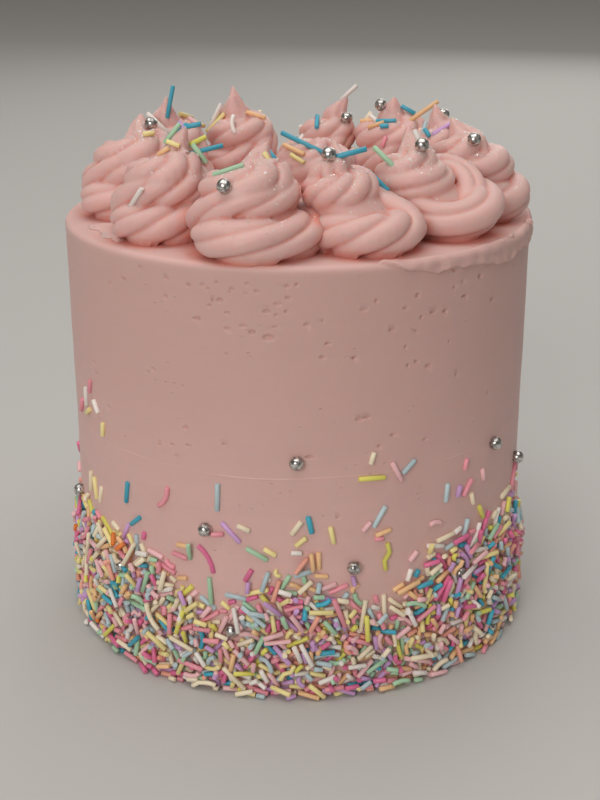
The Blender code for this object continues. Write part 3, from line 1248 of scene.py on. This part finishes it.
def heap_layer(rng, dice, attempts, tries, limit):
    """Try to press that many sprinkles on, giving back how many stayed."""
    laid = 0
    for _ in range(attempts):
        length = rod_length(rng)
        start = rng.uniform(0, math.tau * RADIUS)
        edge = edge_at(start)
        height = rng.uniform(0, edge + 2 * MM)
        round_at = start + dice.uniform(-3, 3, tries) * MM
        heading = dice.uniform(0, math.tau, tries)
        if height < LEVEL_ROWS:
            heading = dice.normal(0, 0.25, tries)
        lowest = np.abs(np.sin(heading)) * length / 2 + ROD_RADIUS + 0.15 * MM
        up_at = np.maximum(height + dice.uniform(-3, 3, tries) * MM, lowest)
        out, slope = rest_on_heap(round_at, up_at, heading, length)
        best = out.argmin()
        share = np.clip((edge + 1.5 * MM - up_at[best]) / THIN_EDGE, 0, 1)
        if out[best] > limit * (0.5 + 0.5 * share):
            continue
        if abs(slope[best]) > STEEPEST or rng.random() > 0.4 + 5 * share:
            continue
        place = (round_at[best], up_at[best], heading[best], length, out[best], slope[best])
        lay_sprinkle(rng, *map(float, place))
        laid += 1
    return laid


rng = random.Random(23)
dice = np.random.default_rng(23)
for layer in LAYERS:
    print(heap_layer(rng, dice, *layer), "sprinkles laid in a layer")

# %% [markdown]
# A few sprinkles in the heap point straight out of it, as dots. Above the heap there are
# strays: a set few at the front, and the rest scattered ever more thinly with height.

# %% Strays that are listed
STRAYS = (  # degrees round, millimetres up, heading, length, colour, kind if not straight
    (-136, 65, 80, 8, "teal"),
    (-124, 68, -118, 9, "rose_pink", "curved"),
    (-110, 72, 88, 9.5, "pale_aqua"),
    (-107, 60, -46, 9, "lilac"),
    (-110, 59, 0, 4, "rose_pink"),
    (-104, 62, -20, 4.5, "cream"),
    (-92, 63, 55, 5.5, "cream"),
    (-89, 64, -78, 6, "teal"),
    (-91, 58, 40, 4.5, "pale_yellow"),
    (-92, 54, 0, 3.5, "white"),
    (-91, 50, 44, 6.5, "coral"),
    (-88.5, 51, 96, 6, "peach"),
    (-87, 51, 92, 6, "peach"),
    (-101, 53, -28, 8, "mint"),
    (-98, 54, -30, 4.5, "pale_yellow"),
    (-103, 45, 62, 5, "hot_pink"),
    (-103, 41, 84, 4, "lilac"),
    (-99, 44, 72, 7, "pale_aqua"),
    (-113, 49, -60, 11, "hot_pink", "curved"),
    (-119, 52, 2, 5, "peach"),
    (-117, 51, 82, 7, "mint"),
    (-120, 48, -8, 6, "rose_pink"),
    (-75, 86, 74, 4, "cream"),
    (-75, 79, -3, 9, "lime_yellow"),
    (-69, 80, -62, 7.5, "light_pink"),
    (-66, 81, 42, 6, "pale_aqua"),
    (-73, 65, 60, 8, "pale_aqua"),
    (-76, 62, 48, 4, "light_pink"),
    (-72, 59, 14, 5.5, "peach"),
    (-73, 57, 0, 3, "rose_pink"),
    (-84, 60, -78, 6, "pale_yellow"),
    (-55, 68, 85, 6.5, "pale_aqua"),
    (-51, 67, 74, 4, "lilac"),
    (-48, 67, 50, 6.5, "rose_pink"),
    (-49, 76, 76, 4, "rose_pink"),
    (-42, 69, -75, 4.5, "light_pink"),
    (-46, 62, -72, 4.5, "cream"),
    (-42, 55, -60, 6, "lime_yellow"),
    (-58, 58, -6, 5, "light_pink", "curved"),
    (-71, 50, 88, 10.5, "lime_yellow", "wriggled"),
    (-64, 48, 46, 4, "light_pink"),
    (-60, 50, 90, 4, "pale_yellow"),
    (-151, 97, 75, 5, "rose_pink"),
    (-154, 92, 88, 7, "white"),
    (-148, 91, -50, 5, "white"),
    (-153, 87, 35, 4.5, "pale_yellow"),
    (-145, 84, 82, 5, "pale_yellow"),
    (-158, 87, 60, 6, "rose_pink"),
    (-154, 60, 80, 8, "cream"),
    (-151, 59, 100, 8, "pale_yellow"),
    (-148, 58, 72, 7, "cream"),
    (-139, 47, -35, 5, "bright_orange"),
    (-137, 45, 50, 4, "bright_orange"),
)

# %% Dots and strays
LOOSE_STRAYS = 120
HIGHEST_STRAY = 30 * MM  # above the band
DOTS = 380


def berth(round_at, up_at, heading, length):
    """Where one rod would rest, as lay_sprinkle takes it."""
    out, slope = rest_on_heap(*(np.array([n]) for n in (round_at, up_at, heading)), length)
    return round_at, up_at, heading, length, float(out[0]), float(slope[0])


def scatter_strays():
    """The listed strays, then loose ones wherever nothing lies under them."""
    rng = random.Random(5)
    for turn, up, heading, length, tone, *bent in STRAYS:
        round_at = math.radians(turn % 360) * RADIUS
        spot = berth(round_at, up * MM, math.radians(heading), length * MM)
        lay_sprinkle(rng, *spot, (bent or ["straight"])[0], tone)
    for _ in range(LOOSE_STRAYS):
        turn = rng.uniform(0, math.tau)
        set_by_hand = -165 < math.degrees(around(turn)) < -35
        rise = rng.expovariate(1 / (4 if set_by_hand else 9)) * MM
        length = rod_length(rng)
        up_at = float(edge_at(turn * RADIUS)) + rise
        spot = berth(turn * RADIUS, up_at, rng.uniform(0, math.pi), length)
        if rise <= HIGHEST_STRAY and spot[4] <= 1.6 * MM:
            lay_sprinkle(rng, *spot)


def stand_dots(count):
    """Broken bits that poke out of the heap end first."""
    rng = random.Random(61)
    for _ in range(count):
        round_at = rng.uniform(0, math.tau * RADIUS)
        up_at = rng.uniform(3 * MM, float(edge_at(round_at)) - 3 * MM)
        level = heap[int(round_at / CELL) % COLUMNS, int(up_at / CELL)]
        length = rng.uniform(2.4, 4.5) * MM
        place, outward = on_side(round_at, up_at, level - length / 2 + rng.uniform(0.4, 1.3) * MM)
        lean = Vector([rng.gauss(0, 0.4) for _ in range(3)])
        direction = (outward + lean).normalized()
        note_sprinkle(rng, place, direction, Vector((0, 0, 1)), length, "straight")


scatter_strays()
stand_dots(DOTS)
print(sum(map(len, notes.values())), "sprinkles noted so far")

# %% [markdown]
# ## Sprinkles and balls on the swirls
# What falls on the piping lands where it can: across a valley, along a rib or standing in a
# crease. A rod here is given a place in plan and a heading. Rays cast down on the icing give
# its two supports, with the same rule as on the side. A few are stuck in at a tilt.

# %% A surface to drop things on
icing_tree = search_tree((iced_cake, *piped))


def icing_at(x, y):
    """Place and heading of the icing under a point in plan."""
    place, outward, _, _ = icing_tree.ray_cast(Vector((x, y, 1)), Vector((0, 0, -1)))
    return place, outward


def on_swirl(number, bearing, distance):
    """A point in plan, measured from a swirl's crown."""
    angle = math.radians(bearing)
    heading = np.array((math.cos(angle), math.sin(angle)))
    return swirls[number - 1]["crown"] + distance * MM * heading


# %% Three ways to set a sprinkle
def drop_sprinkle(rng, x, y, heading, length, kind=None, tone=None):
    """Rest a rod on the icing below it."""
    plan = length
    for _ in range(2):
        along = ALONG[None, :] * plan
        need = []
        for n in along[0]:
            place, outward = icing_at(x + n * math.cos(heading), y + n * math.sin(heading))
            steep = max(0.5, outward.z)
            need.append(place.z + 0.75 * ROD_RADIUS / steep)
        middle, slope = resting_line(along, np.array([need]))
        plan = length / math.sqrt(1 + float(slope[0]) ** 2)
    direction = Vector((math.cos(heading), math.sin(heading), float(slope[0]))).normalized()
    outward = icing_at(x, y)[1]
    note_sprinkle(rng, (x, y, float(middle[0])), direction, outward, length, kind, tone)


def stick_sprinkle(rng, x, y, heading, tilt, length, kind, tone):
    """Stick a rod's lower end in the icing, at a tilt."""
    place, outward = icing_at(x, y)
    flat = math.cos(tilt)
    direction = Vector((math.cos(heading) * flat, math.sin(heading) * flat, math.sin(tilt)))
    middle = place + direction * (length / 2 - 1.0 * MM)
    front = Vector((0.2, -1, 0.3))
    note_sprinkle(rng, middle, direction, front, length, kind, tone)


def press_sprinkle(rng, number, bearing, height, slant, length, tone):
    """Press a rod flat on a swirl's flank, met level from outside."""
    outward = heading_at(math.radians(bearing))
    swirl = swirls[number - 1]
    start = Vector((*swirl["crown"], TOP + height * MM)) + 1.3 * swirl["foot_radius"] * outward
    place, normal, _, _ = icing_tree.ray_cast(start, -outward)
    level = Vector((0, 0, 1)).cross(normal).normalized()
    turn = math.radians(slant)
    direction = level * math.cos(turn) + normal.cross(level) * math.sin(turn)
    middle = place + normal * 0.5 * ROD_RADIUS
    note_sprinkle(rng, middle, direction, normal, length * MM, "straight", tone)


print("the icing is", round((icing_at(0, 0)[0].z - TOP) / MM, 1), "mm proud at the middle")

# %% [markdown]
# The topping that shows most is listed one by one. Each line gives the swirl, a bearing and
# distance from its crown, a heading and, for a rod that stands in the icing, its tilt. The rest
# of the top gets the same mixture at random.

# %% Topping
LYING = None
TOPPING = (  # swirl, bearing, distance, heading, tilt, length, colour, kind if not straight
    (9, -85, 5.5, 43, 74, 12, "teal"),
    (9, -88, 11, 160, 40, 11, "white"),
    (11, 0, 2.5, 4, LYING, 8, "mint"),
    (11, 0, 11, -10, LYING, 7.5, "mint"),
    (11, 10, 5, 55, 20, 5, "teal"),
    (11, 4, 7, -12, 12, 6, "teal"),
    (11, 6, 6, 120, 25, 4, "lilac"),
    (11, 5, 9, 8, 12, 11, "teal"),
    (11, 12, 8, 12, 22, 7, "lime_yellow"),
    (11, -50, 4.5, -15, LYING, 4.5, "pale_yellow"),
    (11, -95, 4, -22, LYING, 4.6, "peach"),
    (10, -60, 9, 20, LYING, 4, "pale_yellow"),
    (8, -168, 13, 10, 62, 12.5, "white"),
    (8, -166, 13, 12, 43, 10, "pale_yellow"),
    (8, -100, 13, 100, 65, 7.5, "white", "curved"),
    (8, -29, 7, -18, LYING, 8, "peach"),
    (7, 172, 10, 0, 5, 4.5, "white"),
    (7, 160, 11, 60, 30, 3.5, "hot_pink"),
    (1, -141, 8, -6, LYING, 10, "mint"),
    (1, -10, 7, 175, 58, 5, "pale_yellow"),
    (12, -121, 13, -35, LYING, 6, "pale_yellow"),
    (12, -82, 10.4, 153, 20, 17, "teal"),
    (12, 150, 15, 150, 45, 7, "teal"),
    (12, 168, 15, 110, 30, 4, "lilac"),
    (12, -131, 12, -35, LYING, 9, "peach"),
    (7, -160, 12, 30, 60, 7, "white", "curved"),
    (7, 0, 6, 10, 40, 8.5, "white"),
    (7, -120, 8.5, 85, LYING, 7.5, "teal"),
    (2, -95, 1.5, 5, 14, 10, "teal"),
    (6, -115, 8, -25, LYING, 8, "teal"),
    (6, -140, 8, 150, 35, 5.5, "white"),
    (6, -24, 6, -10, LYING, 6, "teal"),
    (6, -50, 10, 8, 33, 13, "peach"),
    (3, -55, 4, 155, 62, 8, "white"),
    (3, -140, 11, 150, 38, 9, "mint"),
    (3, -128, 17, 150, 38, 9.5, "teal"),
    (5, -150, 9, 60, 50, 5, "pale_aqua"),
    (5, -118, 8, 14, 28, 8.5, "lilac"),
    (5, -132, 10, -50, LYING, 3.5, "teal"),
    (6, -128, 12, -10, LYING, 6.5, "peach"),
    (6, -110, 13, -12, LYING, 3.2, "teal"),
    (6, -108, 15, 20, LYING, 4, "rose_pink"),
    (12, 14, 15, 12, LYING, 11, "light_pink"),
)

# %% A rod on a flank, and the balls on top
FLANK = (11, -125, 15, 52, 8.5, "white")  # swirl, bearing, height, slant, length, colour
TOP_BALLS = (  # swirl, bearing, distance
    (10, 20, 4), (1, -117, 14.6), (2, -146, 3.0), (7, -36, 9), (6, -165, 4),
    (3, -74, 5), (4, -99, 8.5), (7, 165, 11.5), (7, -172, 13), (5, 80, 4),
    (3, -165, 14), (9, 95, 10), (6, 70, 9), (5, 30, 11), (8, 110, 11),
)


# %% Put the topping on
def top_with_sprinkles():
    """The listed topping, then loose rods on the back and inside the ring."""
    rng = random.Random(12)
    for number, bearing, distance, heading, tilt, length, tone, *bent in TOPPING:
        kind = (bent or ["straight"])[0]
        x, y = on_swirl(number, bearing, distance)
        turn = math.radians(heading)
        if tilt is LYING:
            drop_sprinkle(rng, x, y, turn, length * MM, kind, tone)
        else:
            stick_sprinkle(rng, x, y, turn, math.radians(tilt), length * MM, kind, tone)
    press_sprinkle(rng, *FLANK)
    for _ in range(26):
        x, y = on_swirl(rng.choice((5, 6, 7, 8, 9)), rng.uniform(0, 180), rng.uniform(8, 16))
        drop_sprinkle(rng, x, y, rng.uniform(0, math.pi), rng.uniform(5, 10) * MM)
    for _ in range(12):
        x, y = on_swirl(12, rng.uniform(-10, 240), rng.uniform(20, 34))
        drop_sprinkle(rng, x, y, rng.uniform(0, math.pi), rng.uniform(4, 9) * MM)


def top_with_balls():
    for number, bearing, distance in TOP_BALLS:
        place, outward = icing_at(*on_swirl(number, bearing, distance))
        ball_places.append(place + outward * 0.55 * BALL_RADIUS)


top_with_sprinkles()
top_with_balls()
print(sum(map(len, notes.values())), "sprinkles and", len(ball_places), "balls in all")

# %% [markdown]
# ## From notes to meshes
# Each colour is now built as one joined mesh. A rod of the nearest length is copied, stretched
# a little to the exact one and turned into place. The tint on its faces makes each rod a
# touch lighter or darker than the next.


# %% Build the sprinkles
def build_sprinkles(tone):
    """All the sprinkles of one colour as one piece."""
    rng = random.Random(tone)
    bm = bmesh.new()
    tint = bm.faces.layers.float.new("tint")
    for place, direction, outward, length, kind in notes[tone]:
        made, rod = min(rods[kind], key=lambda pair: abs(pair[0] - length))
        front = (outward - direction * outward.dot(direction)).normalized()
        basis = Matrix((front.cross(direction) * -1, front, direction)).transposed().to_4x4()
        girth = rng.uniform(0.92, 1.06)
        size = Matrix.Diagonal((girth, girth, length / made, 1))
        copy = rod.copy()
        copy.transform(Matrix.Translation(place) @ basis @ size)
        lowest = min(v.co.z for v in copy.vertices)
        copy.transform(Matrix.Translation((0, 0, max(0.0, -lowest))))
        before = len(bm.faces)
        bm.from_mesh(copy)
        bpy.data.meshes.remove(copy)
        bm.faces.ensure_lookup_table()
        shade_of_rod = rng.random()
        for face in bm.faces[before:]:
            face[tint] = shade_of_rod
    name, look = "sprinkles_" + tone, sprinkle_looks[tone]
    as_piece(bm, name, look, ["sprinkle_band"])


for tone in TONES:
    build_sprinkles(tone)

# %% [markdown]
# ## The silver balls
# A sugar pearl's metal skin is thin and patchy, so the mirror is blurred and mottled.

# %% Silver
silver = Finish("silver_pearl", Metallic=1.0)
mottle = silver.between(silver.noise(1.1, detail=3), 0.35, 0.65)
silver.set("Base Color", silver.mix(mottle, colour("8E8C8A"), colour("E6E4E0")))
silver.set("Roughness", 0.12 + 0.22 * silver.noise(0.8, detail=2))
silver.set("Normal", silver.bump(silver.noise(1.6, detail=2), 0.12 * MM))


def build_balls():
    bm = bmesh.new()
    for place in ball_places:
        bmesh.ops.create_icosphere(
            bm, subdivisions=3, radius=BALL_RADIUS, matrix=Matrix.Translation(place)
        )
    as_piece(bm, "silver_balls", silver.material)


build_balls()

# %% [markdown]
# ## Glitter
# Edible glitter is cut film: flat flakes half a millimetre across. They catch the light
# one at a time, so they must be real facets, not bright paint. Five-sided chips are scattered
# over the swirls in a few dustings, each lying nearly flat on the icing under it.

# %% Dust the swirls with glitter
FLAKE = 0.27 * MM
FILM = 0.05 * MM
DUSTINGS = (  # swirl, bearing, spread in millimetres, flakes
    (10, -60, 7, 260), (1, -60, 10, 300), (1, 40, 8, 180), (2, -70, 7, 180),
    (3, -110, 8, 340), (4, -80, 9, 260), (11, -20, 9, 160), (5, -120, 8, 120),
    (6, -90, 9, 120), (7, -100, 8, 120), (8, -90, 9, 120), (9, -90, 9, 120),
    (12, -90, 10, 120), (6, 90, 10, 120), (8, 80, 10, 120), (9, 150, 10, 120),
)
glitter = Finish(
    "glitter", Metallic=0.15, Roughness=0.25, Coat_Weight=1.0, Base_Color=colour("FFF8F4")
)


def dust_with_glitter():
    rng = random.Random(77)
    bm = bmesh.new()
    for number, bearing, spread, count in DUSTINGS:
        for _ in range(count):
            x, y = on_swirl(number, bearing, 0.5 * spread)
            x += rng.gauss(0, spread * MM * 0.75)
            y += rng.gauss(0, spread * MM * 0.75)
            place, outward = icing_at(x, y)
            if place is None or place.z < TOP + 2 * MM:
                continue
            lean = Vector([rng.gauss(0, 0.5) for _ in range(3)])
            turned = (outward + lean).to_track_quat("Z", "Y").to_matrix().to_4x4()
            spun = Matrix.Rotation(rng.uniform(0, math.tau), 4, "Z")
            size = rng.uniform(0.6, 1.2) * FLAKE
            sizes = {"radius1": size, "radius2": size * 0.9, "depth": FILM}
            lying = Matrix.Translation(place + outward * 0.03 * MM) @ turned @ spun
            bmesh.ops.create_cone(bm, cap_ends=True, segments=5, matrix=lying, **sizes)
    return as_piece(bm, "glitter", glitter.material)


flakes = dust_with_glitter()
for face in flakes.data.polygons:
    face.use_smooth = False

# %% [markdown]
# ## Studio
# A pale floor, soft daylight from the front left, a weak fill and an even grey surround. The
# surround matters as much as the lamps, because it is what the silver balls mirror.


# %% Floor
def stage_floor():
    bm = bmesh.new()
    bmesh.ops.create_grid(bm, x_segments=1, y_segments=1, size=12)
    mesh = as_mesh(bm, "floor")
    mesh.materials.append(Finish("floor", Base_Color=colour("C6C6C4"), Roughness=0.7).material)
    floor = in_scene("floor", mesh)
    floor.location.z = min(0.0, cad_box[0][2])


stage_floor()
print("floor laid under the cake")

# %% Light and camera
LENS = 58.97
CAMERA_PLACE = (-0.0131, -0.4648, 0.2496)
CAMERA_DOWN = 20.45  # degrees below level
CAMERA_TURN = -1.7
LAMP_AIM = Vector((0, 0, 0.09))  # the middle of the cake


def lamp(name, place, size, power, tint):
    light = bpy.data.lights.new(name, "AREA")
    light.shape = "DISK"
    light.size = size
    light.energy = power
    light.color = colour(tint)[:3]
    holder = in_scene(name, light)
    holder.location = place
    aim = LAMP_AIM - Vector(place)
    holder.rotation_euler = aim.to_track_quat("-Z", "Y").to_euler()


def surround(strength, tint):
    world = bpy.data.worlds.new("studio")
    world.use_nodes = True
    background = world.node_tree.nodes["Background"]
    background.inputs["Color"].default_value = colour(tint)
    background.inputs["Strength"].default_value = strength
    bpy.context.scene.world = world


def set_camera():
    camera = bpy.data.cameras.new("camera")
    camera.lens = LENS
    camera.sensor_width = 36
    holder = in_scene("camera", camera)
    holder.location = CAMERA_PLACE
    holder.rotation_euler = (math.radians(90 - CAMERA_DOWN), 0, math.radians(CAMERA_TURN))
    bpy.context.scene.camera = holder


lamp("window", (-0.75, -1.75, 0.85), 1.0, 14.0, "FFFAF6")
lamp("overhead", (-0.15, 0.0, 1.9), 2.4, 22, "FFFCF8")
lamp("back_fill", (0.5, 1.7, 0.9), 1.2, 5, "FFFCF8")
surround(0.30, "E1D9D2")
set_camera()
bpy.context.scene.view_settings.view_transform = "Standard"
print("camera", round(Vector(CAMERA_PLACE).length, 2), "m from the middle of the foot")
